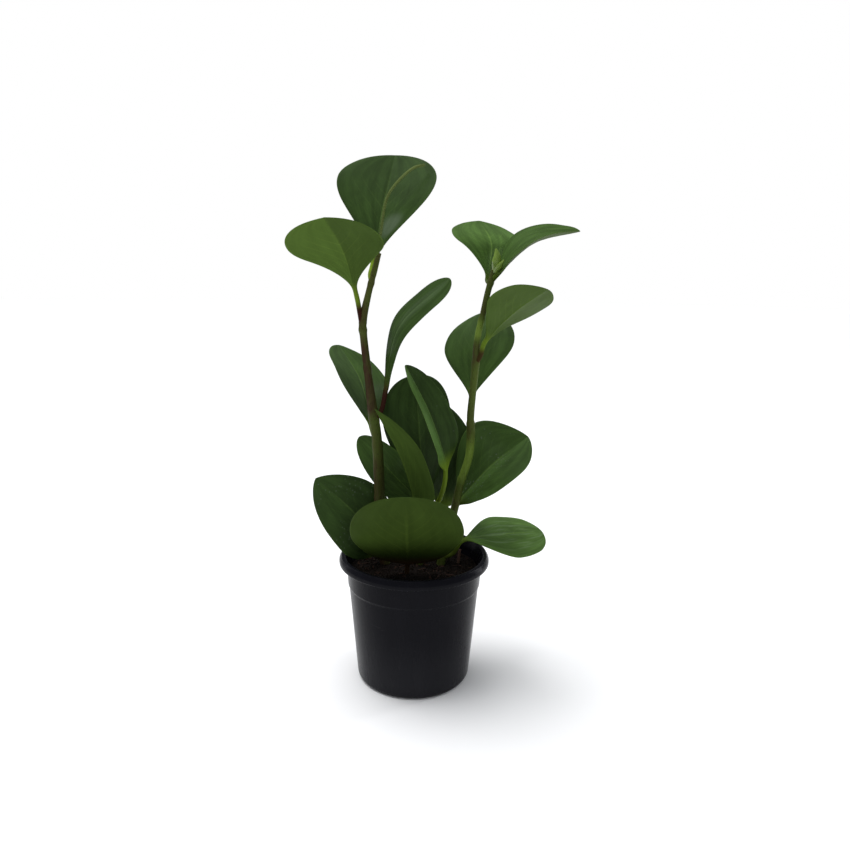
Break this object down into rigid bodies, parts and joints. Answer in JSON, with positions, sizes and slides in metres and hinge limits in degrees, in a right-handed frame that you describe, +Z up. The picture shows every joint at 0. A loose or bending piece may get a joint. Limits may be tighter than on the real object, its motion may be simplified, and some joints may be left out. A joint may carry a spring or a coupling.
{
  "type": "potted peperomia",
  "caption": "Potted peperomia: upright fleshy stems with thick spoon-shaped leaves in a round plastic nursery pot, a house plant for a sill or shelf.",
  "frame": {"origin": "middle of the pot's underside, on the surface that it stands on", "axes": "+Z up along the pot's axis, -Y towards the viewer, +X to the viewer's right"},
  "size_m": [0.1952, 0.1152, 0.379],
  "materials": {
    "pot": "satin moulded polypropylene",
    "soil": "moist peat and bark, rough",
    "stem": "fleshy, green flushed red-brown, satin",
    "leaf": "waxy satin above, duller and paler below",
    "young": "satin yellow-green",
    "spike": "finely bumpy, matt yellow-green"
  },
  "bodies": {
    "root": {"pot": "pot", "soil": "soil", "stem_left": "stem", "stem_right": "stem", "stem_middle": "stem", "old_stalk": "stem", "flower_spike": "spike", "growing_tip": "young", "leaf_left_top": "leaf", "leaf_left_upper": "leaf", "leaf_left_inner": "leaf", "leaf_left_outer": "leaf", "leaf_left_back": "leaf", "leaf_left_low": "leaf", "leaf_right_top": "leaf", "leaf_right_upper": "leaf", "leaf_right_front": "leaf", "leaf_right_back": "leaf", "leaf_right_low": "leaf", "leaf_right_rim": "leaf", "leaf_middle_tall": "leaf", "leaf_middle_front": "leaf", "leaf_middle_back": "leaf", "leaf_middle_right": "leaf", "leaf_front": "leaf"}
  },
  "joints": []
}
